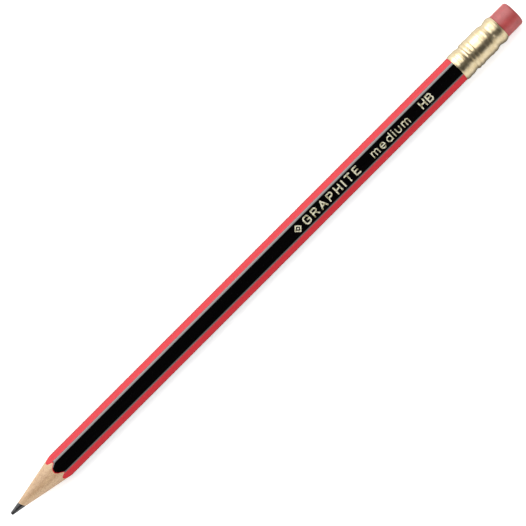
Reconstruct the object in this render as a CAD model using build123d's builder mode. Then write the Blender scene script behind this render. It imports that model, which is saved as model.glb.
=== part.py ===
from build123d import *
import os
from math import atan2, cos, degrees, hypot, radians, sin, tan

# A hexagonal wooden pencil, sharpened at one end and carrying an eraser in a metal ferrule at
# the other. It lies along X with its point towards -X and the printed face up. The origin is
# below the middle of its length, at the height of the ferrule's widest bead. Millimetres.

os.makedirs("parts", exist_ok=True)

# Overall sizes
OVERALL_LENGTH = 188.0
ACROSS_FLATS = 7.0
EDGE_RADIUS = 0.85  # rounding of the six long edges
SIDES = 6
CORNER_ANGLE = 360 / SIDES
HALF_SIDE_ANGLE = 180 / SIDES

# Layers of the casing, from the middle outwards
CORE_RADIUS = 1.08
GLUE_THICKNESS = 0.04
RED_COAT = 0.045
BLACK_COAT = 0.04
FOIL_THICKNESS = 0.03

# Sharpened end: the lead is ground a little slimmer than the cone cut in the wood
POINT_RADIUS = 0.45
GROUND_LENGTH = 4.0
GROUND_RADIUS = 1.10  # at the end of the ground length
CONE_HALF_ANGLE = 11.1
CLEAR_OF_BODY = 6.0  # a radius outside every part of the body

# Ferrule and eraser
FERRULE_LENGTH = 15.6
FERRULE_WALL = 0.28
TENON_RADIUS = 3.40  # under the ferrule the body is turned down to bare wood
TENON_LENGTH = 7.6
LIP_LENGTH = 0.3  # the ferrule's rim is rolled in on to the tenon
ERASER_RADIUS = 3.65
ERASER_EXPOSED = 5.8
ERASER_EDGE_RADIUS = 0.8
DIMPLE_RADIUS = 0.5  # radius of the punch's ball
DIMPLE_CENTRE = 4.05  # distance of the ball's centre from the pencil's axis
DIMPLE_ANGLES = [13, 133, 253]  # around the axis, from the top face
KNOB_LATITUDE = -30  # the punched knob is the part of its ball below this latitude

# The ferrule's outside, from its rim to its mouth: distance from the rim, radius
FERRULE_OUTLINE = [
    (0.00, 3.94),  # rolled rim
    (0.35, 4.09),
    (1.10, 4.14),  # collar
    (2.50, 4.10),
    (3.30, 3.88),
    (4.00, 3.83),  # neck
    (4.75, 4.16),  # ring
    (5.36, 4.06),
    (5.95, 4.16),  # bead
    (6.60, 4.12),
    (7.10, 4.03),  # barrel
    (8.80, 4.04),
    (9.65, 4.16),  # bead
    (10.43, 4.06),
    (10.97, 4.11),  # ring
    (11.60, 4.03),
    (12.65, 3.71),  # crimp that holds the eraser
    (13.55, 3.93),
    (14.28, 4.10),  # end bead
    (15.10, 3.94),
    (15.60, 3.74),  # mouth
]
LIP_POINTS = 2  # the outline's first points, which the wall's inside leaves to the rolled lip

# The eraser's stem inside the ferrule
STEM_RADIUS = 3.58
CRIMP_PLACE = 12.65  # from the ferrule's rim
CRIMP_REACH = 1.25  # the crimp narrows the stem over this length on each side
CRIMPED_RADIUS = 3.40
PINCH_RADIUS = 3.50  # where the ferrule starts to close on the stem at its mouth
MOUTH_RADIUS = 3.44
MOUTH_BULGE = 0.2  # the eraser swells over this length beyond the mouth

# Print: the letters are centre lines drawn with a round pen. Distances are from the ferrule's
# rim, and gaps are between the centre lines of neighbouring letters.
PRINT_OFFSET_Y = -0.13
CAP_HEIGHT = 2.4
BOLD_PEN = 0.42
LIGHT_PEN = 0.32
EMBLEM_SIZE = 2.5
EMBLEM_TURN = 45
EMBLEM_LINE = 0.36
EMBLEM_DISTANCE = 59.7
TITLE_DISTANCE = 57.4
TITLE_GAP = 1.26
WORD_DISTANCE = 32.3
WORD_GAP = 1.0
GRADE_DISTANCE = 14.2
GRADE_GAP = 0.9

# Places along X
POINT_X = -OVERALL_LENGTH / 2
ERASER_END_X = OVERALL_LENGTH / 2
MOUTH_X = ERASER_END_X - ERASER_EXPOSED
RIM_X = MOUTH_X - FERRULE_LENGTH
WOOD_END_X = RIM_X + TENON_LENGTH
CRIMP_X = RIM_X + CRIMP_PLACE
EMBLEM_X = RIM_X - EMBLEM_DISTANCE
TITLE_X = RIM_X - TITLE_DISTANCE
WORD_X = RIM_X - WORD_DISTANCE
GRADE_X = RIM_X - GRADE_DISTANCE

# Derived sizes
with BuildLine() as ferrule_outline:
    Spline(*FERRULE_OUTLINE)
AXIS_HEIGHT = ferrule_outline.line.bounding_box().max.Y
APOTHEM = ACROSS_FLATS / 2
RED_APOTHEM = APOTHEM - BLACK_COAT
WOOD_APOTHEM = RED_APOTHEM - RED_COAT
CASING_LENGTH = WOOD_END_X - POINT_X

AXIS_PLANE = Plane(origin=(0, 0, AXIS_HEIGHT), x_dir=(1, 0, 0), z_dir=(0, -1, 0))
SECTION_PLANE = Plane(origin=(POINT_X, 0, AXIS_HEIGHT), x_dir=(0, 1, 0), z_dir=(1, 0, 0))
TOP_FACE = Plane(origin=(0, PRINT_OFFSET_Y, AXIS_HEIGHT + APOTHEM))
PENCIL_AXIS = Axis((0, 0, AXIS_HEIGHT), (1, 0, 0))


def hexagon(apothem):
    """The body's section at one depth of its coats, with its edges rounded."""
    with BuildSketch(mode=Mode.PRIVATE) as section:
        RegularPolygon(apothem, SIDES, major_radius=False)
        fillet(section.vertices(), EDGE_RADIUS - (APOTHEM - apothem))
    return section.sketch


# What the sharpener and the shoulder cutter leave of the body
with BuildPart() as turned:
    with BuildSketch(AXIS_PLANE):
        with BuildLine():
            cone_start = POINT_X + GROUND_LENGTH
            cone_length = (CLEAR_OF_BODY - GROUND_RADIUS) / tan(radians(CONE_HALF_ANGLE))
            Polyline(
                (POINT_X, 0),
                (POINT_X, POINT_RADIUS),
                (cone_start, GROUND_RADIUS),
                (cone_start + cone_length, CLEAR_OF_BODY),
                (RIM_X, CLEAR_OF_BODY),
                (RIM_X, TENON_RADIUS),
                (WOOD_END_X, TENON_RADIUS),
                (WOOD_END_X, 0),
                close=True,
            )
        make_face()
    revolve(axis=PENCIL_AXIS)

with BuildPart() as graphite_core:
    with BuildSketch(SECTION_PLANE):
        Circle(CORE_RADIUS)
    extrude(amount=CASING_LENGTH)
    add(turned.part, mode=Mode.INTERSECT)


def wood_slat(side):
    """Half of the casing: side is 1 above the glued joint and -1 below it."""
    with BuildPart() as slat:
        with BuildSketch(SECTION_PLANE):
            add(hexagon(WOOD_APOTHEM))
            with Locations((0, side * GLUE_THICKNESS / 2)):
                Rectangle(
                    2 * ACROSS_FLATS,
                    ACROSS_FLATS,
                    align=(Align.CENTER, Align.MIN if side > 0 else Align.MAX),
                    mode=Mode.INTERSECT,
                )
            Circle(CORE_RADIUS, mode=Mode.SUBTRACT)
        extrude(amount=CASING_LENGTH)
        add(turned.part, mode=Mode.INTERSECT)
    return slat


wood_slat_upper = wood_slat(1)
wood_slat_lower = wood_slat(-1)

with BuildPart() as glue_line:
    with BuildSketch(SECTION_PLANE):
        add(hexagon(WOOD_APOTHEM))
        Rectangle(2 * ACROSS_FLATS, GLUE_THICKNESS, mode=Mode.INTERSECT)
        Circle(CORE_RADIUS, mode=Mode.SUBTRACT)
    extrude(amount=CASING_LENGTH)
    add(turned.part, mode=Mode.INTERSECT)

with BuildPart() as red_lacquer:
    with BuildSketch(SECTION_PLANE):
        add(hexagon(RED_APOTHEM))
        add(hexagon(WOOD_APOTHEM), mode=Mode.SUBTRACT)
    extrude(amount=CASING_LENGTH)
    add(turned.part, mode=Mode.INTERSECT)


def black_stripe(turn):
    """The black coat over one flat and the two rounded edges beside it."""
    edge_z = APOTHEM - EDGE_RADIUS
    edge_y = edge_z * tan(radians(HALF_SIDE_ANGLE))
    reach_y = edge_y + ACROSS_FLATS * sin(radians(CORNER_ANGLE))
    reach_z = edge_z + ACROSS_FLATS * cos(radians(CORNER_ANGLE))
    across = (0, cos(radians(turn)), sin(radians(turn)))
    face_plane = Plane(origin=SECTION_PLANE.origin, x_dir=across, z_dir=SECTION_PLANE.z_dir)
    with BuildPart() as stripe:
        with BuildSketch(face_plane):
            add(hexagon(APOTHEM))
            add(hexagon(RED_APOTHEM), mode=Mode.SUBTRACT)
            with BuildSketch(mode=Mode.INTERSECT):
                with BuildLine():
                    Polyline(
                        (-edge_y, edge_z),
                        (edge_y, edge_z),
                        (reach_y, reach_z),
                        (-reach_y, reach_z),
                        close=True,
                    )
                make_face()
        extrude(amount=CASING_LENGTH)
        add(turned.part, mode=Mode.INTERSECT)
    return stripe


black_stripe_top = black_stripe(0)
black_stripe_left = black_stripe(2 * CORNER_ANGLE)
black_stripe_right = black_stripe(-2 * CORNER_ANGLE)

# Letters as strokes on a body one unit high. Four numbers are a bar from one point to another,
# and five are an arc: its centre, radius, start angle and sweep.
LETTERS = {
    "G": [
        (0.56, 0.70, 0.30, 15, 75),
        (0.30, 1.00, 0.56, 1.00),
        (0.30, 0.70, 0.30, 90, 90),
        (0.00, 0.30, 0.00, 0.70),
        (0.30, 0.30, 0.30, 180, 90),
        (0.30, 0.00, 0.56, 0.00),
        (0.56, 0.30, 0.30, 270, 90),
        (0.86, 0.30, 0.86, 0.48),
        (0.52, 0.48, 0.86, 0.48),
    ],
    "R": [
        (0.00, 0.00, 0.00, 1.00),
        (0.00, 1.00, 0.50, 1.00),
        (0.50, 0.74, 0.26, -90, 180),
        (0.00, 0.48, 0.50, 0.48),
        (0.44, 0.48, 0.78, 0.00),
    ],
    "A": [
        (0.00, 0.00, 0.45, 1.00),
        (0.45, 1.00, 0.90, 0.00),
        (0.15, 0.33, 0.75, 0.33),
    ],
    "P": [
        (0.00, 0.00, 0.00, 1.00),
        (0.00, 1.00, 0.50, 1.00),
        (0.50, 0.74, 0.26, -90, 180),
        (0.00, 0.48, 0.50, 0.48),
    ],
    "H": [
        (0.00, 0.00, 0.00, 1.00),
        (0.78, 0.00, 0.78, 1.00),
        (0.00, 0.52, 0.78, 0.52),
    ],
    "I": [(0.00, 0.00, 0.00, 1.00)],
    "T": [
        (0.00, 1.00, 0.80, 1.00),
        (0.40, 0.00, 0.40, 1.00),
    ],
    "E": [
        (0.00, 0.00, 0.00, 1.00),
        (0.00, 1.00, 0.66, 1.00),
        (0.00, 0.52, 0.58, 0.52),
        (0.00, 0.00, 0.66, 0.00),
    ],
    "B": [
        (0.00, 0.00, 0.00, 1.00),
        (0.00, 1.00, 0.48, 1.00),
        (0.48, 0.76, 0.24, -90, 180),
        (0.00, 0.52, 0.48, 0.52),
        (0.48, 0.26, 0.26, -90, 180),
        (0.00, 0.00, 0.48, 0.00),
    ],
    "m": [
        (0.00, 0.00, 0.00, 0.70),
        (0.25, 0.45, 0.25, 0, 180),
        (0.50, 0.00, 0.50, 0.45),
        (0.75, 0.45, 0.25, 0, 180),
        (1.00, 0.00, 1.00, 0.45),
    ],
    "e": [
        (0.35, 0.35, 0.35, 0, 160),
        (0.35, 0.35, 0.35, 160, 155),
        (0.00, 0.35, 0.70, 0.35),
    ],
    "d": [
        (0.35, 0.35, 0.35, 0, 180),
        (0.35, 0.35, 0.35, 180, 180),
        (0.70, 0.00, 0.70, 1.00),
    ],
    "i": [
        (0.00, 0.00, 0.00, 0.70),
        (0.00, 0.97, 0.00, 1.00),
    ],
    "u": [
        (0.00, 0.30, 0.00, 0.70),
        (0.30, 0.30, 0.30, 180, 180),
        (0.60, 0.30, 0.60, 0.70),
    ],
}
LETTER_WIDTHS = {
    "G": 0.86,
    "R": 0.78,
    "A": 0.90,
    "P": 0.76,
    "H": 0.78,
    "I": 0.0,
    "T": 0.80,
    "E": 0.66,
    "B": 0.74,
    "m": 1.0,
    "e": 0.70,
    "d": 0.70,
    "i": 0.0,
    "u": 0.60,
}


def foil_text(text, left_x, pen, gap):
    """Stamped foil letters, the first one's left edge at left_x."""
    unit = CAP_HEIGHT - pen
    base_y = -unit / 2
    letter_x = left_x + pen / 2
    with BuildPart() as foil:
        with BuildSketch(TOP_FACE):
            for letter in text:
                for stroke in LETTERS[letter]:
                    if len(stroke) == 4:
                        x0, y0, x1, y1 = (unit * value for value in stroke)
                        with Locations((letter_x + (x0 + x1) / 2, base_y + (y0 + y1) / 2)):
                            turn = degrees(atan2(y1 - y0, x1 - x0))
                            SlotCenterToCenter(hypot(x1 - x0, y1 - y0), pen, rotation=turn)
                    else:
                        centre_x, centre_y, radius = (unit * value for value in stroke[:3])
                        start, sweep_angle = stroke[3:]
                        centre = Plane((letter_x + centre_x, base_y + centre_y, 0))
                        arc = Edge.make_circle(radius, centre, start, start + sweep_angle)
                        SlotArc(arc, pen)
                letter_x += unit * LETTER_WIDTHS[letter] + gap
        extrude(amount=FOIL_THICKNESS)
    return foil


foil_title = foil_text("GRAPHITE", TITLE_X, BOLD_PEN, TITLE_GAP)
foil_word = foil_text("medium", WORD_X, LIGHT_PEN, WORD_GAP)
foil_grade = foil_text("HB", GRADE_X, BOLD_PEN, GRADE_GAP)

# A plain square set on its corner, with a smaller one inside it
with BuildPart() as foil_emblem:
    with BuildSketch(TOP_FACE):
        with Locations((EMBLEM_X, 0)):
            side = EMBLEM_SIZE * cos(radians(EMBLEM_TURN))
            opening = side - 2 * EMBLEM_LINE
            heart = side / 4
            Rectangle(side, side, rotation=EMBLEM_TURN)
            Rectangle(opening, opening, rotation=EMBLEM_TURN, mode=Mode.SUBTRACT)
            Rectangle(heart, heart, rotation=EMBLEM_TURN)
    extrude(amount=FOIL_THICKNESS)


def dimple_planes():
    """A plane at each punched dimple's ball, facing away from the pencil's axis."""
    planes = []
    for angle in DIMPLE_ANGLES:
        outward = Vector(0, -sin(radians(angle)), cos(radians(angle)))
        centre = Vector(CRIMP_X, 0, AXIS_HEIGHT) + outward * DIMPLE_CENTRE
        planes.append(Plane(origin=centre, x_dir=(1, 0, 0), z_dir=outward))
    return planes


with BuildPart() as ferrule:
    with BuildSketch(AXIS_PLANE):
        with BuildLine():
            outside = [(RIM_X + place, radius) for place, radius in FERRULE_OUTLINE]
            inside = [(x, radius - FERRULE_WALL) for x, radius in outside[LIP_POINTS:]]
            lip = [(RIM_X, TENON_RADIUS), (RIM_X + LIP_LENGTH, TENON_RADIUS)]
            Spline(*outside)
            Line(outside[-1], inside[-1])
            Spline(*inside)
            Line(inside[0], lip[1])
            Line(lip[1], lip[0])
            Line(lip[0], outside[0])
        make_face()
    revolve(axis=PENCIL_AXIS)
    # The punch pushes a small knob of metal into the eraser and leaves a round dimple outside
    with Locations(*dimple_planes()):
        Sphere(DIMPLE_RADIUS + FERRULE_WALL, arc_size2=KNOB_LATITUDE, align=None)
        Sphere(DIMPLE_RADIUS, mode=Mode.SUBTRACT)

with BuildPart() as eraser_plug:
    with BuildSketch(AXIS_PLANE):
        with BuildLine():
            Polyline(
                (WOOD_END_X, 0),
                (WOOD_END_X, STEM_RADIUS),
                (CRIMP_X - CRIMP_REACH, STEM_RADIUS),
                (CRIMP_X, CRIMPED_RADIUS),
                (CRIMP_X + CRIMP_REACH, STEM_RADIUS),
                (MOUTH_X - MOUTH_BULGE, PINCH_RADIUS),
                (MOUTH_X, MOUTH_RADIUS),
                (MOUTH_X + MOUTH_BULGE, ERASER_RADIUS),
                (ERASER_END_X, ERASER_RADIUS),
                (ERASER_END_X, 0),
                close=True,
            )
        make_face()
    revolve(axis=PENCIL_AXIS)
    end_edge = eraser_plug.faces().sort_by(Axis.X)[-1].edges()
    fillet(end_edge, ERASER_EDGE_RADIUS)
    with Locations(*dimple_planes()):
        Sphere(DIMPLE_RADIUS + FERRULE_WALL, mode=Mode.SUBTRACT)

PIECES = {
    "graphite_core": graphite_core,
    "wood_slat_upper": wood_slat_upper,
    "wood_slat_lower": wood_slat_lower,
    "glue_line": glue_line,
    "red_lacquer": red_lacquer,
    "black_stripe_top": black_stripe_top,
    "black_stripe_left": black_stripe_left,
    "black_stripe_right": black_stripe_right,
    "foil_emblem": foil_emblem,
    "foil_title": foil_title,
    "foil_word": foil_word,
    "foil_grade": foil_grade,
    "ferrule": ferrule,
    "eraser_plug": eraser_plug,
}
for name, piece in PIECES.items():
    piece.part.label = name
    export_step(piece.part, f"parts/{name}.step")
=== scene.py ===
from math import atan2, cos, hypot, pi, radians, sin, tan

import bpy
import numpy as np
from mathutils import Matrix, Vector, noise


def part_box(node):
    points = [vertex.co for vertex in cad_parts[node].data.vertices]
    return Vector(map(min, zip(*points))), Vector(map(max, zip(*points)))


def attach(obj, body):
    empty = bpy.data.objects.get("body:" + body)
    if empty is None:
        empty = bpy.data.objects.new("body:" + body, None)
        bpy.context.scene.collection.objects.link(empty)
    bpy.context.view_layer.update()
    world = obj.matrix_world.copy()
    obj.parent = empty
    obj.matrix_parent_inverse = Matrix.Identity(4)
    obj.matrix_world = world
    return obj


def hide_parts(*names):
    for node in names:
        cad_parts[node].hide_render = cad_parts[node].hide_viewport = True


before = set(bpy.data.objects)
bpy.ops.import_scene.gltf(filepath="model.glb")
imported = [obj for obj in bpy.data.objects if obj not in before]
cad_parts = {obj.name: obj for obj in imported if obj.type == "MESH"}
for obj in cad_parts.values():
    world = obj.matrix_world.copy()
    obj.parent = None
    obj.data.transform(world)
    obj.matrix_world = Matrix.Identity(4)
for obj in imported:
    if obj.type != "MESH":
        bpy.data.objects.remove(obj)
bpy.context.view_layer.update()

# A hexagonal graphite pencil lying along X, its point towards -X and its printed black face up.
# Lengths are in metres, worked out from the frame; MM turns given details into metres.
MM = 0.001

# Places and sizes from the frame
core_low, core_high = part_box("graphite_core")
glue_low, glue_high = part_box("glue_line")
ferrule_low, ferrule_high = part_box("ferrule")
eraser_low, eraser_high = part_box("eraser_plug")
wood_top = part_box("wood_slat_upper")[1].z
red_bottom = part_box("red_lacquer")[0].z
black_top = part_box("black_stripe_top")[1].z
POINT_X = core_low.x
WOOD_END_X = core_high.x
RIM_X = ferrule_low.x
MOUTH_X = ferrule_high.x
STEM_X = eraser_low.x
ERASER_END_X = eraser_high.x
AXIS_Z = (core_low.z + core_high.z) / 2
CORE_RADIUS = (core_high.z - core_low.z) / 2
GLUE_THICKNESS = glue_high.z - glue_low.z
BLACK_APOTHEM = black_top - AXIS_Z
RED_APOTHEM = AXIS_Z - red_bottom
WOOD_APOTHEM = wood_top - AXIS_Z
ERASER_RADIUS = (eraser_high.y - eraser_low.y) / 2
FERRULE_LENGTH = MOUTH_X - RIM_X

# Sizes that the frame's boxes don't give
EDGE_RADIUS = 0.85 * MM
COAT_UNDER_RIM = 0.1 * MM
TENON_RADIUS = 3.40 * MM
FERRULE_WALL = 0.28 * MM
POINT_RADIUS = 0.45 * MM
GROUND_LENGTH = 4.0 * MM
GROUND_RADIUS = 1.10 * MM
GROUND_SLOPE = (GROUND_RADIUS - POINT_RADIUS) / GROUND_LENGTH
CONE_HALF_ANGLE = radians(11.1)
CONE_SLOPE = tan(CONE_HALF_ANGLE)

# The sharpener's cone runs a little off the pencil's axis
CONE_SHIFT_Y = 0.07 * MM
CONE_SHIFT_Z = 0.03 * MM


# ---------------------------------------------------------------- mesh helpers


def add_piece(name, points, faces, material, sharp_angle=40):
    """A mesh object in the row frame, smooth but for edges sharper than the given angle."""
    mesh = bpy.data.meshes.new(name)
    mesh.from_pydata([tuple(p) for p in points], [], faces)
    mesh.validate()
    mesh.shade_smooth()
    mesh.set_sharp_from_angle(angle=radians(sharp_angle))
    piece = bpy.data.objects.new(name, mesh)
    bpy.context.scene.collection.objects.link(piece)
    piece.data.materials.append(material)
    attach(piece, "root")
    return piece


def paint(piece, name, values):
    """A number for each point of a piece, for its material to read."""
    attribute = piece.data.attributes.new(name, "FLOAT", "POINT")
    attribute.data.foreach_set("value", np.asarray(values, dtype=float))


def shell_piece(name, outer, inner, closed, material, sharp_angle=40):
    """A closed skin between two grids of points, each [column around][row along]."""
    columns, rows = outer.shape[:2]
    points = np.concatenate([outer.reshape(-1, 3), inner.reshape(-1, 3)])
    inner_start = columns * rows
    faces = []
    last_column = columns if closed else columns - 1
    for column in range(last_column):
        here = column * rows
        there = (column + 1) % columns * rows
        for row in range(rows - 1):
            quad = (here + row, here + row + 1, there + row + 1, there + row)
            faces.append(quad)
            faces.append(tuple(inner_start + quad[corner] for corner in (0, 3, 2, 1)))
        for row in (0, rows - 1):
            end = (here + row, there + row, inner_start + there + row, inner_start + here + row)
            faces.append(end if row == 0 else end[::-1])
    if not closed:
        for column in (0, columns - 1):
            here = column * rows
            for row in range(rows - 1):
                below = inner_start + here + row
                side = (here + row, below, below + 1, here + row + 1)
                faces.append(side if column == 0 else side[::-1])
    return add_piece(name, points, faces, material, sharp_angle)


def solid_piece(name, outer, start, end, material, sharp_angle=40):
    """A closed turned solid: a grid of points [column][row] and the points that close its ends."""
    columns, rows = outer.shape[:2]
    points = np.concatenate([outer.reshape(-1, 3), [start, end]])
    start_point = columns * rows
    end_point = start_point + 1
    faces = []
    for column in range(columns):
        here = column * rows
        there = (column + 1) % columns * rows
        for row in range(rows - 1):
            faces.append((here + row, here + row + 1, there + row + 1, there + row))
        faces.append((here, there, start_point))
        faces.append((here + rows - 1, end_point, there + rows - 1))
    return add_piece(name, points, faces, material, sharp_angle)


def around(turn, radius, x):
    """A point at a turn from the top, towards +Y, at a radius from the pencil's axis."""
    return np.stack(
        [
            np.broadcast_to(x, np.broadcast_shapes(np.shape(turn), np.shape(radius), np.shape(x))),
            radius * np.sin(turn) + 0 * x,
            radius * np.cos(turn) + AXIS_Z + 0 * x,
        ],
        axis=-1,
    )


def ripple(places, size, seed):
    """Smooth noise from -1 to 1 at each point, with features of about the given size."""
    flat = places.reshape(-1, 3) / size
    values = [noise.noise(Vector(place) + Vector((seed, 0, 0))) for place in flat]
    return np.array(values).reshape(places.shape[:-1])


# ---------------------------------------------------------------- the body's section and cone


EDGE_STEPS = 20


def section(apothem, first_flat=0, last_flat=5, flat_steps=24, edge_steps=EDGE_STEPS):
    """Turns and radii along the rounded hexagon: flats in turn, each with the rounded edge after
    it. Flat 0 is the top one. A point close to each end of a flat keeps its shading flat."""
    edge_radius = EDGE_RADIUS - (BLACK_APOTHEM - apothem)
    half_flat = (apothem - edge_radius) * tan(pi / 6)
    support = 0.03 * MM
    inner_across = np.linspace(-half_flat + support, half_flat - support, flat_steps)
    flat_points = [(y, apothem) for y in (-half_flat, *inner_across)]
    edge_points = [
        (half_flat + edge_radius * sin(turn), apothem - edge_radius + edge_radius * cos(turn))
        for turn in np.linspace(0, pi / 3, edge_steps + 1)
    ]
    turns, radii = [], []
    for flat in range(first_flat, last_flat + 1):
        for y, z in flat_points + edge_points[:-1]:
            turns.append(atan2(y, z) + flat * pi / 3)
            radii.append(hypot(y, z))
    return np.array(turns), np.array(radii)


def cone_shift(turn):
    """How far the cone's surface is moved outwards at a turn, because the cone is off the axis."""
    return CONE_SHIFT_Z * np.cos(turn) + CONE_SHIFT_Y * np.sin(turn)


def cone_radius(x, turn):
    """Distance from the pencil's axis to the sharpener's cone."""
    distance = x - POINT_X
    ground = POINT_RADIUS + distance * GROUND_SLOPE
    cut = GROUND_RADIUS + (distance - GROUND_LENGTH) * CONE_SLOPE
    return np.maximum(ground, cut) + cone_shift(turn)


def cone_x(radius, turn):
    """Where the sharpener's cone reaches a radius."""
    centred = radius - cone_shift(turn)
    ground = (centred - POINT_RADIUS) / GROUND_SLOPE
    cut = GROUND_LENGTH + (centred - GROUND_RADIUS) / CONE_SLOPE
    return POINT_X + np.minimum(ground, cut)


def ragged(turn):
    """The small unevenness of the cut lacquer, as a length along the pencil."""
    reach = 3.5 * MM
    ring = np.stack([0 * turn, reach * np.sin(turn), reach * np.cos(turn)], axis=-1)
    nicks = 0.10 * MM * ripple(ring, 0.45 * MM, seed=3.0)
    waves = 0.12 * MM * ripple(ring, 1.7 * MM, seed=9.0)
    return nicks + waves


BROKEN_TIP = 0.35 * MM
BROKEN_RED_TIP = 0.12 * MM  # added on the red faces


def broken_back(turn):
    """How far the thin tip of each tongue of lacquer has broken away, a little more on red."""
    on_flat = 0.5 + 0.5 * np.cos(6 * turn)
    on_red = 0.5 - 0.5 * np.cos(3 * turn)
    return (BROKEN_TIP + BROKEN_RED_TIP * on_red) * on_flat


def stations(front, back):
    """Rows from a ragged front edge back to a straight one, close together at first."""
    near_share = 0.03
    near_rows = np.linspace(0, near_share, 7)
    far_rows = np.linspace(near_share, 1, 13)[1:]
    share = np.concatenate([near_rows, far_rows])
    return front[:, None] + (back - front[:, None]) * share[None, :]


def coat(name, outside, inside, closed, material):
    """One coat of lacquer, from the scallops to the ferrule, between two sections."""
    outer_turns = outside[0]
    unevenness = ragged(outer_turns) + broken_back(outer_turns)
    skins = []
    for turns, radii in (outside, inside):
        front = cone_x(radii, turns) + unevenness
        x = stations(front, RIM_X + COAT_UNDER_RIM)
        skins.append(around(turns[:, None], radii[:, None], x))
    outer, inner = skins
    return shell_piece(name, outer, inner, closed, material)


# ---------------------------------------------------------------- material helpers


def new_material(name, color, roughness, metallic=0.0):
    """A material and its Principled shader, with the plain values set on its own sockets."""
    material = bpy.data.materials.new(name)
    material.use_nodes = True
    shader = material.node_tree.nodes["Principled BSDF"]
    shader.inputs["Base Color"].default_value = (*color, 1)
    shader.inputs["Roughness"].default_value = roughness
    shader.inputs["Metallic"].default_value = metallic
    return material, material.node_tree, shader


def grain(tree, per_mm=(1, 1, 1), scale=1.0, detail=3.0, roughness=0.5):
    """A noise texture's value. Its features come so many to the millimetre along X, Y and Z, as
    the object's own coordinates run, and the scale makes all three finer."""
    place = tree.nodes.new("ShaderNodeTexCoord")
    mapping = tree.nodes.new("ShaderNodeMapping")
    mapping.inputs["Scale"].default_value = [value / MM for value in per_mm]
    tree.links.new(place.outputs["Object"], mapping.inputs["Vector"])
    texture = tree.nodes.new("ShaderNodeTexNoise")
    texture.inputs["Scale"].default_value = scale
    texture.inputs["Detail"].default_value = detail
    texture.inputs["Roughness"].default_value = roughness
    tree.links.new(mapping.outputs["Vector"], texture.inputs["Vector"])
    return texture.outputs["Fac"]


def ramp(tree, value, stops):
    """A colour ramp: stops are (place, colour)."""
    node = tree.nodes.new("ShaderNodeValToRGB")
    elements = node.color_ramp.elements
    while len(elements) < len(stops):
        elements.new(0.5)
    for element, (place, color) in zip(elements, stops):
        element.position = place
        element.color = (*color, 1)
    tree.links.new(value, node.inputs["Fac"])
    return node.outputs["Color"]


def gray_ramp(tree, value, stops):
    """A ramp between grey levels: stops are (place, level)."""
    return ramp(tree, value, [(place, (level, level, level)) for place, level in stops])


def mixed(tree, factor, first, second, blend="MIX"):
    """Two colours mixed by a factor; each may be a socket or a plain colour."""
    node = tree.nodes.new("ShaderNodeMix")
    node.data_type = "RGBA"
    node.blend_type = blend
    for socket, value in (("Factor", factor), ("A", first), ("B", second)):
        target = next(s for s in node.inputs if s.name == socket and s.enabled)
        if isinstance(value, bpy.types.NodeSocket):
            tree.links.new(value, target)
        else:
            target.default_value = value if socket == "Factor" else (*value, 1)
    return next(s for s in node.outputs if s.enabled)


def bump(tree, shader, height, strength, distance, before=None):
    """A bump on the shader's normal, over an earlier bump if there is one."""
    node = tree.nodes.new("ShaderNodeBump")
    node.inputs["Strength"].default_value = strength
    node.inputs["Distance"].default_value = distance
    tree.links.new(height, node.inputs["Height"])
    if before is not None:
        tree.links.new(before, node.inputs["Normal"])
    tree.links.new(node.outputs["Normal"], shader.inputs["Normal"])
    return node.outputs["Normal"]


# ---------------------------------------------------------------- materials

WHITE = (1.0, 1.0, 1.0)


def lacquer(name, deep, thin, roughness, ior, border=None):
    """Glossy lacquer over the wood's grain: long faint waves, and a slightly uneven colour. A
    stripe's lacquer thins towards its borders, where the coat below shows through."""
    material, tree, shader = new_material(name, deep, roughness)
    shader.inputs["IOR"].default_value = ior
    streaks = grain(tree, (0.06, 1.6, 1.6), detail=4.0)
    color = ramp(tree, streaks, [(0.35, deep), (0.7, thin)])
    if border is not None:
        thinness = tree.nodes.new("ShaderNodeAttribute")
        thinness.attribute_name = "thinness"
        color = mixed(tree, thinness.outputs["Fac"], color, border)
    tree.links.new(color, shader.inputs["Base Color"])
    waves = grain(tree, (0.12, 0.9, 0.9), detail=2.0)
    bump(tree, shader, waves, strength=0.20, distance=0.03 * MM)
    return material


def make_wood():
    """Bare pencil wood: fine fibres along the pencil, broad darker bands, and small specks."""
    material, tree, shader = new_material("bare_wood", (0.51, 0.34, 0.20), 0.48)
    shader.inputs["Specular IOR Level"].default_value = 1.0
    fibres = grain(tree, (0.45, 6.0, 6.0), detail=4.0, roughness=0.55)
    bands = grain(tree, (0.10, 0.7, 0.7))
    fuzz = grain(tree, (0.8, 1.2, 1.2), scale=4.0, detail=4.0, roughness=0.65)
    dark_fibre, fibre, pale_fibre = (0.39, 0.245, 0.12), (0.53, 0.355, 0.20), (0.63, 0.44, 0.27)
    color = ramp(tree, fibres, [(0.28, dark_fibre), (0.50, fibre), (0.72, pale_fibre)])
    broad = ramp(tree, bands, [(0.38, (0.84, 0.79, 0.74)), (0.60, WHITE)])
    color = mixed(tree, 1.0, color, broad, "MULTIPLY")
    specks = ramp(tree, fuzz, [(0.40, (0.66, 0.57, 0.48)), (0.56, WHITE)])
    color = mixed(tree, 0.6, color, specks, "MULTIPLY")
    tree.links.new(color, shader.inputs["Base Color"])
    first = bump(tree, shader, fibres, strength=0.4, distance=0.04 * MM)
    bump(tree, shader, fuzz, strength=0.5, distance=0.04 * MM, before=first)
    return material


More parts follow.
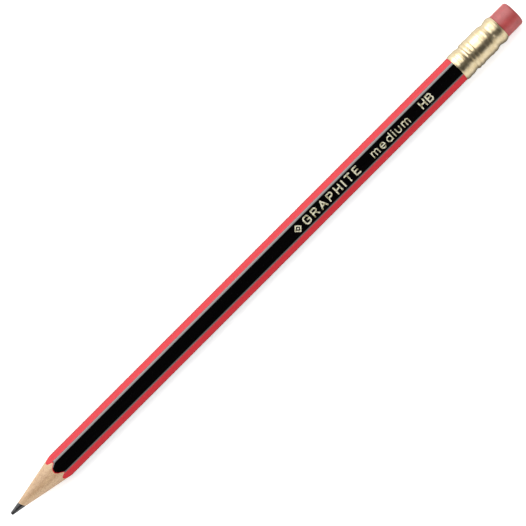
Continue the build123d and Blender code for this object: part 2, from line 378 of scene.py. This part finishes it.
def make_graphite():
    """Sharpened lead: nearly black, with a metallic shine and fine lines around the cone."""
    material, tree, shader = new_material("graphite", (0.006, 0.005, 0.006), 0.24)
    shader.inputs["IOR"].default_value = 1.9
    lines = grain(tree, (9.0, 0.8, 0.8))
    patches = grain(tree, scale=1.2)
    color = ramp(tree, patches, [(0.35, (0.004, 0.003, 0.004)), (0.7, (0.010, 0.008, 0.009))])
    tree.links.new(color, shader.inputs["Base Color"])
    rough = gray_ramp(tree, patches, [(0.3, 0.16), (0.7, 0.26)])
    tree.links.new(rough, shader.inputs["Roughness"])
    bump(tree, shader, lines, strength=0.22, distance=0.02 * MM)
    return material


def make_glue():
    """The dried glue of the joint between the two slats."""
    material, tree, shader = new_material("dry_glue", (0.42, 0.28, 0.15), 0.5)
    spots = grain(tree, scale=2.0)
    color = ramp(tree, spots, [(0.3, (0.34, 0.21, 0.11)), (0.7, (0.50, 0.34, 0.19))])
    tree.links.new(color, shader.inputs["Base Color"])
    return material


def make_ferrule_metal():
    """Pale gold anodised sheet: satin and blotchy, with fine pits and lines around it. The colour
    is darkened where the pits are low, as painted shade.
    """
    material, tree, shader = new_material("pale_gold_metal", (0.75, 0.64, 0.42), 0.34, metallic=1.0)
    blotches = grain(tree, scale=0.8, detail=4.0)
    pits = grain(tree, scale=7.0, roughness=0.6)
    lines = grain(tree, (7.0, 0.5, 0.5))
    color = ramp(tree, blotches, [(0.3, (0.69, 0.57, 0.35)), (0.7, (0.81, 0.70, 0.49))])
    # Painted shade: the colour darkens in the low places of the pits' bump.
    painted_pit_shade = ramp(tree, pits, [(0.38, (0.86, 0.81, 0.70)), (0.58, WHITE)])
    color = mixed(tree, 1.0, color, painted_pit_shade, "MULTIPLY")
    tree.links.new(color, shader.inputs["Base Color"])
    rough = gray_ramp(tree, pits, [(0.35, 0.29), (0.7, 0.40)])
    tree.links.new(rough, shader.inputs["Roughness"])
    first = bump(tree, shader, lines, strength=0.30, distance=0.02 * MM)
    bump(tree, shader, pits, strength=0.24, distance=0.02 * MM, before=first)
    return material


def make_rubber():
    """Pink eraser rubber: matte and cloudy, with dark and pale specks of filler."""
    material, tree, shader = new_material("pink_rubber", (0.31, 0.028, 0.028), 0.48)
    shader.inputs["Specular IOR Level"].default_value = 0.95
    shader.inputs["Sheen Weight"].default_value = 0.10
    shader.inputs["Sheen Roughness"].default_value = 0.5
    clouds = grain(tree, scale=0.7)
    specks = grain(tree, scale=5.0, roughness=0.7)
    color = ramp(tree, clouds, [(0.3, (0.29, 0.021, 0.021)), (0.7, (0.37, 0.034, 0.034))])
    dark_fleck, pale_fleck = (0.62, 0.50, 0.50), (1.35, 2.0, 2.0)
    fleck_stops = [(0.28, dark_fleck), (0.42, WHITE), (0.60, WHITE), (0.70, pale_fleck)]
    flecks = ramp(tree, specks, fleck_stops)
    color = mixed(tree, 1.0, color, flecks, "MULTIPLY")
    tree.links.new(color, shader.inputs["Base Color"])
    first = bump(tree, shader, clouds, strength=0.25, distance=0.08 * MM)
    bump(tree, shader, specks, strength=0.4, distance=0.03 * MM, before=first)
    return material


def make_foil():
    """Hot-stamped pale gold foil, slightly crinkled, with random olive patches of painted shade in
    its colour, standing in for darker reflections.
    """
    gold, olive = (1.0, 0.96, 0.74), (0.42, 0.38, 0.20)
    material, tree, shader = new_material("gold_foil", gold, 0.5, metallic=1.0)
    crinkle = grain(tree, scale=3.0)
    painted_shade_patches = grain(tree, scale=1.3, detail=2.0)
    # Painted shade: olive patches mixed into the gold stand in for darker reflections in the foil.
    color = ramp(tree, painted_shade_patches, [(0.36, olive), (0.54, gold)])
    tree.links.new(color, shader.inputs["Base Color"])
    bump(tree, shader, crinkle, strength=0.5, distance=0.03 * MM)
    return material


RED_DEEP = (0.47, 0.009, 0.017)
RED_THIN = (0.52, 0.012, 0.022)
BLACK_DEEP = (0.0010, 0.0008, 0.0009)
BLACK_THIN = (0.0016, 0.0013, 0.0014)
BLACK_BORDER = (0.34, 0.009, 0.017)
red_lacquer = lacquer("red_lacquer", RED_DEEP, RED_THIN, roughness=0.14, ior=1.36)
black_lacquer = lacquer(
    "black_lacquer", BLACK_DEEP, BLACK_THIN, roughness=0.08, ior=1.92, border=BLACK_BORDER
)
bare_wood = make_wood()
graphite = make_graphite()
dry_glue = make_glue()
ferrule_metal = make_ferrule_metal()
pink_rubber = make_rubber()
gold_foil = make_foil()


# ---------------------------------------------------------------- the casing

red_section = section(RED_APOTHEM)
wood_section = section(WOOD_APOTHEM)
WOOD_CORNER = wood_section[1].max()

body_coat = coat("red_coat", red_section, wood_section, True, red_lacquer)
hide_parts("red_lacquer")

# A stripe's lacquer draws up into a fat edge close to its border, and thins out at the border
FAT_EDGE = 0.014 * MM
FAT_EDGE_PLACE = 0.10 * MM
FAT_EDGE_WIDTH = 0.06 * MM
THIN_BORDER = 0.14 * MM


def stripe_section(apothem, flat):
    """One flat's section with the rounded edge on each side of it."""
    turns, radii = section(apothem, flat - 1, flat + 1)
    per_flat = len(turns) // 3
    start = per_flat - EDGE_STEPS
    end = 2 * per_flat + 1
    return turns[start:end], radii[start:end]


for name, flat in (("black_stripe_top", 0), ("black_stripe_left", 4), ("black_stripe_right", 2)):
    turns, radii = stripe_section(BLACK_APOTHEM, flat)
    off_middle = np.abs(turns - flat * pi / 3)
    from_border = (off_middle.max() - off_middle) * radii
    fat_edge = FAT_EDGE * np.exp(-(((from_border - FAT_EDGE_PLACE) / FAT_EDGE_WIDTH) ** 2))
    outside = (turns, radii + fat_edge)
    inside = stripe_section(RED_APOTHEM, flat)
    stripe = coat(name.replace("black_", "painted_"), outside, inside, False, black_lacquer)
    rows = len(stripe.data.vertices) // (2 * len(turns))
    thinness = np.clip(1.2 - from_border / THIN_BORDER, 0, 1)
    paint(stripe, "thinness", np.tile(np.repeat(thinness, rows), 2))
    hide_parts(name)

CONE_ROWS = 121
HIDDEN_ROWS = 4


def wood_rows(turns, radii):
    """Rows of x for each column of wood: along the bare cone, then back under the lacquer."""
    core_gap = 0.01 * MM
    start = cone_x(CORE_RADIUS + core_gap, turns)
    scallop = cone_x(radii, turns) + ragged(turns)
    share = np.linspace(0, 1, CONE_ROWS)
    along_cone = start[:, None] + (scallop - start)[:, None] * share[None, :]
    hidden_share = np.linspace(0, 1, HIDDEN_ROWS + 1)[1:]
    hidden = scallop[:, None] + (WOOD_END_X - scallop)[:, None] * hidden_share[None, :]
    return np.concatenate([along_cone, hidden], axis=1)


def wood_surface(turns, radii):
    """The slat's outside: the cone with its fibres and cutting marks, then the hexagon, then the
    tenon under the ferrule."""
    x = wood_rows(turns, radii)
    turn = turns[:, None] + 0 * x
    cone = cone_radius(x, turn)
    places = around(turn, cone, x)
    fade = 2 * MM
    after_core = np.clip((x - x[:, :1]) / fade, 0, 1)
    before_lacquer = np.clip((x[:, CONE_ROWS - 1 : CONE_ROWS] - x) / fade, 0, 1)
    fibres = 0.022 * MM * ripple(places * np.array([0.12, 1, 1]), 0.16 * MM, seed=1.0)
    chatter = 0.018 * MM * ripple(places, 1.3 * MM, seed=5.0)
    fuzz = 0.020 * MM * ripple(places * np.array([0.5, 1, 1]), 0.20 * MM, seed=7.0)
    cone = cone + after_core * before_lacquer * (fibres + chatter + fuzz)
    radius = np.minimum(cone, radii[:, None] + 0 * x)
    radius = np.where(x > RIM_X, np.minimum(radius, TENON_RADIUS), radius)
    return x, turn, radius


def slat(name, node, middle):
    """One half of the casing around its middle turn, with its half-round groove for the core."""
    turns, radii = section(WOOD_APOTHEM, flat_steps=36, edge_steps=16)
    turns = (turns - middle + pi) % (2 * pi) - pi + middle
    beside_joint = 0.02
    keep = np.abs(turns - middle) < pi / 2 - beside_joint
    turns, radii = turns[keep], radii[keep]
    order = np.argsort(turns)
    turns = np.concatenate([[middle - pi / 2], turns[order], [middle + pi / 2]])
    radii = np.concatenate([[WOOD_CORNER], radii[order], [WOOD_CORNER]])
    x, turn, radius = wood_surface(turns, radii)
    outer = around(turn, radius, x)
    inner = around(turn, CORE_RADIUS + 0 * x, x)
    for grid in (outer, inner):
        grid[[0, -1], :, 2] = AXIS_Z + cos(middle) * GLUE_THICKNESS / 2
    piece = shell_piece(name, outer, inner, False, bare_wood, sharp_angle=60)
    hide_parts(node)


slat("cut_slat_upper", "wood_slat_upper", 0)
slat("cut_slat_lower", "wood_slat_lower", pi)


def glue_strip(name, side):
    """The glue of one side of the joint, a hair's breadth below the cut wood."""
    turns = np.array([side * pi / 2])
    x, turn, radius = wood_surface(turns, np.array([WOOD_CORNER]))
    below_wood = 0.004 * MM
    radius = radius - below_wood
    outer_line = around(turn, radius, x)[0]
    inner_line = around(turn, CORE_RADIUS + 0 * x, x)[0]
    lift = np.array([0, 0, side * GLUE_THICKNESS / 2])
    outer = np.stack([outer_line + lift, outer_line - lift])
    inner = np.stack([inner_line + lift, inner_line - lift])
    piece = shell_piece(name, outer, inner, False, dry_glue)
    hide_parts("glue_line")


glue_strip("glue_strip_left", 1)
glue_strip("glue_strip_right", -1)


def make_core():
    """The lead: a blunt worn point, the cone cut by the sharpener, and the rod inside the wood."""
    turns = np.linspace(0, 2 * pi, 96, endpoint=False)
    border = cone_x(CORE_RADIUS, turns)
    share = np.linspace(0, 1, 70)
    tip_x = POINT_X + 0.03 * MM
    x = tip_x + (border - tip_x)[:, None] * share[None, :]
    turn = turns[:, None] + 0 * x
    radius = cone_radius(x, turn)
    places = around(turn, radius, x)
    after_tip = np.clip((x - tip_x) / MM, 0, 1)
    radius = radius + 0.012 * MM * ripple(places, 0.35 * MM, seed=2.0) * after_tip
    worn_length, worn_depth = 0.22 * MM, 0.10 * MM
    worn = np.clip(1 - (x - tip_x) / worn_length, 0, 1)
    radius = radius - worn_depth * worn**2
    rod_share = np.array([0.02, 0.5, 1.0])
    rod_x = border[:, None] + (WOOD_END_X - border)[:, None] * rod_share[None, :]
    x = np.concatenate([x, rod_x], axis=1)
    radius = np.concatenate([radius, CORE_RADIUS + 0 * rod_x], axis=1)
    outer = around(turns[:, None] + 0 * x, radius, x)
    start = (POINT_X, CONE_SHIFT_Y, AXIS_Z + CONE_SHIFT_Z)
    end = (WOOD_END_X, 0, AXIS_Z)
    piece = solid_piece("sharpened_core", outer, start, end, graphite, sharp_angle=50)
    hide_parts("graphite_core")


make_core()

# ---------------------------------------------------------------- ferrule

# High and low places of the ferrule's outside, in millimetres: distance from its rim, radius
FERRULE_TURNS = [
    (0.00, 3.93),  # rolled rim
    (0.45, 4.09),
    (1.15, 4.14),  # collar
    (1.52, 4.07),
    (1.80, 4.09),
    (2.05, 4.06),
    (2.40, 4.12),
    (2.70, 4.08),
    (3.95, 3.82),  # neck
    (4.78, 4.17),  # ring
    (5.06, 4.12),
    (5.20, 4.13),
    (5.38, 4.04),
    (5.80, 4.16),  # bead
    (6.45, 4.15),
    (6.95, 4.02),
    (7.90, 4.05),  # barrel
    (8.95, 4.03),
    (9.55, 4.16),  # bead
    (9.88, 4.15),
    (10.05, 4.09),
    (10.25, 4.11),
    (10.43, 4.04),
    (10.75, 4.11),  # ring
    (11.10, 4.10),
    (12.66, 3.70),  # crimp that holds the eraser
    (13.60, 3.96),
    (13.80, 3.97),
    (14.28, 4.11),  # end bead
    (14.62, 4.03),
    (14.95, 3.99),
    (15.60, 3.74),  # mouth
]
# Fine grooves pressed between the rings, in millimetres from the rim
FERRULE_GROOVES = [1.80, 2.70, 4.20, 5.18, 5.50, 6.80, 9.30, 10.60, 11.80, 13.60, 14.05]
GROOVE_HALF_WIDTH = 0.09 * MM
GROOVE_DEPTH = 0.045 * MM
DIMPLE_DEGREES = [-13, -133, -253]  # from the top, towards +Y
DIMPLE_PLACE = 12.65 * MM
DIMPLE_RADIUS = 0.5 * MM  # of the punch's round end
DIMPLE_CENTRE = 4.05 * MM
DIMPLE_REACH = 0.40 * MM
DIMPLE_RIM_PLACE = 0.47 * MM
DIMPLE_RIM_WIDTH = 0.07 * MM
DIMPLE_RIM_HEIGHT = 0.022 * MM


def ferrule_profile(distance):
    """The ferrule's radius at a distance from its rim, rounded at each high and low place."""
    places = np.array([place for place, radius in FERRULE_TURNS]) * MM
    radii = np.array([radius for place, radius in FERRULE_TURNS]) * MM
    distance = np.clip(distance, places[0], places[-1])
    index = np.clip(np.searchsorted(places, distance) - 1, 0, len(places) - 2)
    share = (distance - places[index]) / (places[index + 1] - places[index])
    eased = share * share * (3 - 2 * share)
    radius = radii[index] + (radii[index + 1] - radii[index]) * eased
    for place in FERRULE_GROOVES:
        off = np.clip((distance - place * MM) / GROOVE_HALF_WIDTH, -1, 1)
        radius = radius - GROOVE_DEPTH * (1 + np.cos(pi * off)) / 2
    return radius


def ferrule_rows():
    """Distances from the rim for the ferrule's rows, close together across each groove."""
    rows = list(np.linspace(0, FERRULE_LENGTH, 130))
    for place in FERRULE_GROOVES:
        rows.extend(place * MM + GROOVE_HALF_WIDTH * np.linspace(-1.1, 1.1, 9))
    rows = np.unique(np.round(rows, 7))
    kept = [rows[0]]
    for row in rows[1:]:
        if row - kept[-1] > 0.008 * MM:
            kept.append(row)
    kept[-1] = FERRULE_LENGTH
    return np.array(kept)


def make_ferrule():
    """The rolled metal tube, with rings that wander a little and three punched dimples. Its rim
    is rolled in on to the tenon."""
    turns = np.linspace(0, 2 * pi, 216, endpoint=False)[:, None]
    distance = ferrule_rows()[None, :] + 0 * turns
    ring = around(turns, 4 * MM + 0 * distance, distance)
    from_end = np.minimum(distance, FERRULE_LENGTH - distance)
    inside_ends = np.clip(from_end / (0.6 * MM), 0, 1)
    radius = ferrule_profile(distance)
    distance = distance + 0.07 * MM * ripple(ring, 3.2 * MM, seed=4.0) * inside_ends
    radius = radius + 0.012 * MM * ripple(ring, 2.4 * MM, seed=6.0) * inside_ends
    radius = radius + 0.003 * MM * ripple(ring, 0.35 * MM, seed=8.0)
    for angle in DIMPLE_DEGREES:
        off_turn = (turns - radians(angle) + pi) % (2 * pi) - pi
        off = np.hypot(off_turn * radius, distance - DIMPLE_PLACE)
        ball = DIMPLE_CENTRE - np.sqrt(np.maximum(DIMPLE_RADIUS**2 - off**2, 0))
        radius = np.where(off < DIMPLE_REACH, np.minimum(radius, ball), radius)
        rim = np.exp(-(((off - DIMPLE_RIM_PLACE) / DIMPLE_RIM_WIDTH) ** 2))
        radius = radius + DIMPLE_RIM_HEIGHT * rim
    x = RIM_X + distance
    outer = around(turns, radius, x)
    lip_length, lip_gap, least_wall = 0.3 * MM, 0.01 * MM, 0.1 * MM
    inner_radius = np.where(distance < lip_length, TENON_RADIUS + lip_gap, radius - FERRULE_WALL)
    inner_radius = np.minimum(inner_radius, radius - least_wall)
    inner = around(turns, inner_radius, x)
    piece = shell_piece("rolled_ferrule", outer, inner, True, ferrule_metal, sharp_angle=60)
    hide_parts("ferrule")


make_ferrule()

# ---------------------------------------------------------------- eraser


ERASER_STEM_RADIUS = 3.35 * MM
ERASER_STEM_TAPER = 0.3 * MM
ERASER_MOUTH_GAP = 0.22 * MM
ERASER_SWELL_LENGTH = 0.28 * MM
ERASER_SWELL = 0.2 * MM
ERASER_END_ROUND = 0.8 * MM
ERASER_DOME = 0.12 * MM


def eraser_profile():
    """The rubber plug's outline, as distances from its hidden end and radii: a plain stem in the
    ferrule, a swelling at the ferrule's mouth, a straight body, a rounded edge and a low dome."""
    mouth = MOUTH_X - STEM_X
    straight_start = mouth + ERASER_SWELL_LENGTH
    straight_end = ERASER_END_X - STEM_X - ERASER_END_ROUND - ERASER_DOME
    profile = [
        (0, ERASER_STEM_RADIUS),
        (mouth - ERASER_STEM_TAPER, ERASER_STEM_RADIUS),
        (mouth, ERASER_RADIUS - ERASER_MOUTH_GAP),
    ]
    for share in np.linspace(0.15, 1, 8):
        below = ERASER_SWELL * (1 - sin(share * pi / 2))
        profile.append((mouth + ERASER_SWELL_LENGTH * share, ERASER_RADIUS - below))
    for share in np.linspace(0, 1, 46)[1:]:
        profile.append((straight_start + (straight_end - straight_start) * share, ERASER_RADIUS))
    for turn in np.linspace(0, pi / 2, 16)[1:]:
        below = ERASER_END_ROUND * (1 - cos(turn))
        profile.append((straight_end + ERASER_END_ROUND * sin(turn), ERASER_RADIUS - below))
    for share in np.linspace(1, 0.04, 24)[1:]:
        bulge = ERASER_DOME * (1 - share**2)
        radius = (ERASER_RADIUS - ERASER_END_ROUND) * share
        profile.append((straight_end + ERASER_END_ROUND + bulge, radius))
    return np.array(profile).T


def make_eraser():
    """The rubber plug, slightly lumpy where it is on show."""
    distance, radii = eraser_profile()[:, None, :]
    turns = np.linspace(0, 2 * pi, 160, endpoint=False)[:, None]
    x = STEM_X + distance + 0 * turns
    places = around(turns, radii, x)
    lumps = 0.018 * MM * ripple(places, 1.8 * MM, seed=2.0)
    dents = 0.010 * MM * ripple(places, 0.45 * MM, seed=5.0)
    off_axis = np.clip(radii / MM, 0, 1)
    on_show = np.clip((x - MOUTH_X) / (0.5 * MM), 0, 1)
    inset = 0.01 * MM
    outer = around(turns, radii + (lumps + dents - inset) * on_show * off_axis, x)
    start = (STEM_X, 0, AXIS_Z)
    end = (ERASER_END_X, 0, AXIS_Z)
    piece = solid_piece("pink_eraser", outer, start, end, pink_rubber, sharp_angle=60)
    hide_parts("eraser_plug")


make_eraser()

# ---------------------------------------------------------------- stamped foil

for node in ("foil_emblem", "foil_title", "foil_word", "foil_grade"):
    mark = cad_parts[node]
    mark.data.materials.clear()
    mark.data.materials.append(gold_foil)

# ---------------------------------------------------------------- floor, light and camera


FLOOR_REACH = 4.0
BACKDROP_RADIUS = 3.9
BACKDROP_HEIGHT = 5.0


def stage_mesh(name, points, faces, material):
    """A mesh object of the studio, which is not part of the pencil."""
    mesh = bpy.data.meshes.new(name)
    mesh.from_pydata(points, [], faces)
    mesh.materials.append(material)
    piece = bpy.data.objects.new(name, mesh)
    bpy.context.scene.collection.objects.link(piece)
    return piece


def make_floor():
    """A plain pale table top. It glows a little, more at a distance, so shadows are faint."""
    material, tree, shader = new_material("pale_floor", (0.93, 0.93, 0.93), 0.9)
    shader.inputs["Specular IOR Level"].default_value = 0.1
    place = tree.nodes.new("ShaderNodeTexCoord")
    spread = tree.nodes.new("ShaderNodeTexGradient")
    spread.gradient_type = "SPHERICAL"
    tree.links.new(place.outputs["Object"], spread.inputs["Vector"])
    glow = gray_ramp(tree, spread.outputs["Fac"], [(0.2, 0.9), (0.6, 0.35)])
    tree.links.new(glow, shader.inputs["Emission Color"])
    shader.inputs["Emission Strength"].default_value = 1.0
    signs = ((-1, -1), (1, -1), (1, 1), (-1, 1))
    corners = [(FLOOR_REACH * x, FLOOR_REACH * y, 0) for x, y in signs]
    floor = stage_mesh("floor", corners, [(0, 1, 2, 3)], material)
    floor.visible_glossy = False


def make_backdrop():
    """A plain pale wall around the table, which only the camera sees."""
    material, _, shader = new_material("pale_backdrop", (0.8, 0.8, 0.8), 0.9)
    shader.inputs["Emission Color"].default_value = (*WHITE, 1)
    shader.inputs["Emission Strength"].default_value = 0.9
    steps = 64
    points, faces = [], []
    for step in range(steps):
        turn = 2 * pi * step / steps
        for height in (0, BACKDROP_HEIGHT):
            points.append((BACKDROP_RADIUS * cos(turn), BACKDROP_RADIUS * sin(turn), height))
        after = (step + 1) % steps
        faces.append((2 * step, 2 * step + 1, 2 * after + 1, 2 * after))
    backdrop = stage_mesh("backdrop", points, faces, material)
    backdrop.visible_diffuse = False
    backdrop.visible_glossy = False
    backdrop.visible_shadow = False


LIGHT_DISTANCE = 0.9


def softbox(name, near_angle, far_angle, length, radiance, reflected=True):
    """A soft rectangular light that spans two angles from the zenith, in degrees, its long side
    along the pencil. Positive angles lean to +Y. An unreflected one only fills the shadows."""
    half_width = radians(abs(far_angle - near_angle) / 2)
    width = 2 * LIGHT_DISTANCE * tan(half_width)
    light = bpy.data.lights.new(name, "AREA")
    light.shape = "RECTANGLE"
    light.size = length
    light.size_y = width
    light.energy = radiance * pi * width * length
    lamp = bpy.data.objects.new(name, light)
    angle = radians((near_angle + far_angle) / 2)
    lamp.location = (0, LIGHT_DISTANCE * sin(angle), AXIS_Z + LIGHT_DISTANCE * cos(angle))
    lamp.rotation_euler = (-angle, 0, 0)
    lamp.visible_camera = False
    lamp.visible_glossy = reflected
    bpy.context.scene.collection.objects.link(lamp)


def product(tree, first, second):
    """Two values multiplied; the second may be a plain number."""
    node = tree.nodes.new("ShaderNodeMath")
    node.operation = "MULTIPLY"
    tree.links.new(first, node.inputs[0])
    if isinstance(second, bpy.types.NodeSocket):
        tree.links.new(second, node.inputs[1])
    else:
        node.inputs[1].default_value = second
    return node.outputs["Value"]


def make_world():
    """A room that is dark overhead, with pale walls along both sides of the pencil. Below the
    horizon the wall on the -Y side darkens downwards, as the faces on that side mirror it."""
    world = bpy.data.worlds.new("studio")
    bpy.context.scene.world = world
    world.use_nodes = True
    tree = world.node_tree
    background = tree.nodes["Background"]
    place = tree.nodes.new("ShaderNodeTexCoord")
    split = tree.nodes.new("ShaderNodeSeparateXYZ")
    tree.links.new(place.outputs["Generated"], split.inputs["Vector"])
    height, sideways = split.outputs["Z"], split.outputs["Y"]
    lit_wall = gray_ramp(tree, height, [(0.0, 1.0), (0.50, 1.0), (0.66, 0.03), (1.0, 0.006)])
    below = product(tree, height, -1)
    shade = gray_ramp(tree, below, [(0.20, 1.0), (0.37, 0.75), (0.50, 0.30), (1.0, 0.15)])
    shaded_wall = mixed(tree, 1.0, lit_wall, shade, "MULTIPLY")
    lean = gray_ramp(tree, sideways, [(0.0, 0.0), (0.10, 1.0)])
    wall = mixed(tree, lean, shaded_wall, lit_wall)
    square = product(tree, sideways, sideways)
    sides = gray_ramp(tree, square, [(0.10, 0.30), (0.55, 1.0)])
    tree.links.new(mixed(tree, 1.0, wall, sides, "MULTIPLY"), background.inputs["Color"])
    background.inputs["Strength"].default_value = 1.25


CAMERA_DISTANCE = 0.765
CAMERA_ROLL = radians(-45)
PIXELS_ACROSS = 526
PIXELS_PER_METRE = 3780


def make_camera():
    """Straight above the pencil's middle, rolled so that the pencil crosses the picture."""
    camera = bpy.data.cameras.new("camera")
    camera.sensor_width = 36
    camera.lens = camera.sensor_width * CAMERA_DISTANCE * PIXELS_PER_METRE / PIXELS_ACROSS
    holder = bpy.data.objects.new("camera", camera)
    holder.location = (0, 0, AXIS_Z + CAMERA_DISTANCE)
    holder.rotation_euler = (0, 0, CAMERA_ROLL)
    bpy.context.scene.collection.objects.link(holder)
    bpy.context.scene.camera = holder


make_floor()
make_backdrop()
softbox("overhead_softbox", 12, 55, length=1.0, radiance=2.5)
softbox("side_softbox", 55, 83, length=0.60, radiance=3.3)
softbox("low_fill", -58, -84, length=1.2, radiance=1.5, reflected=False)
softbox("top_fill", -30, 30, length=1.2, radiance=1.25, reflected=False)
make_world()
make_camera()
bpy.context.scene.view_settings.view_transform = "Standard"
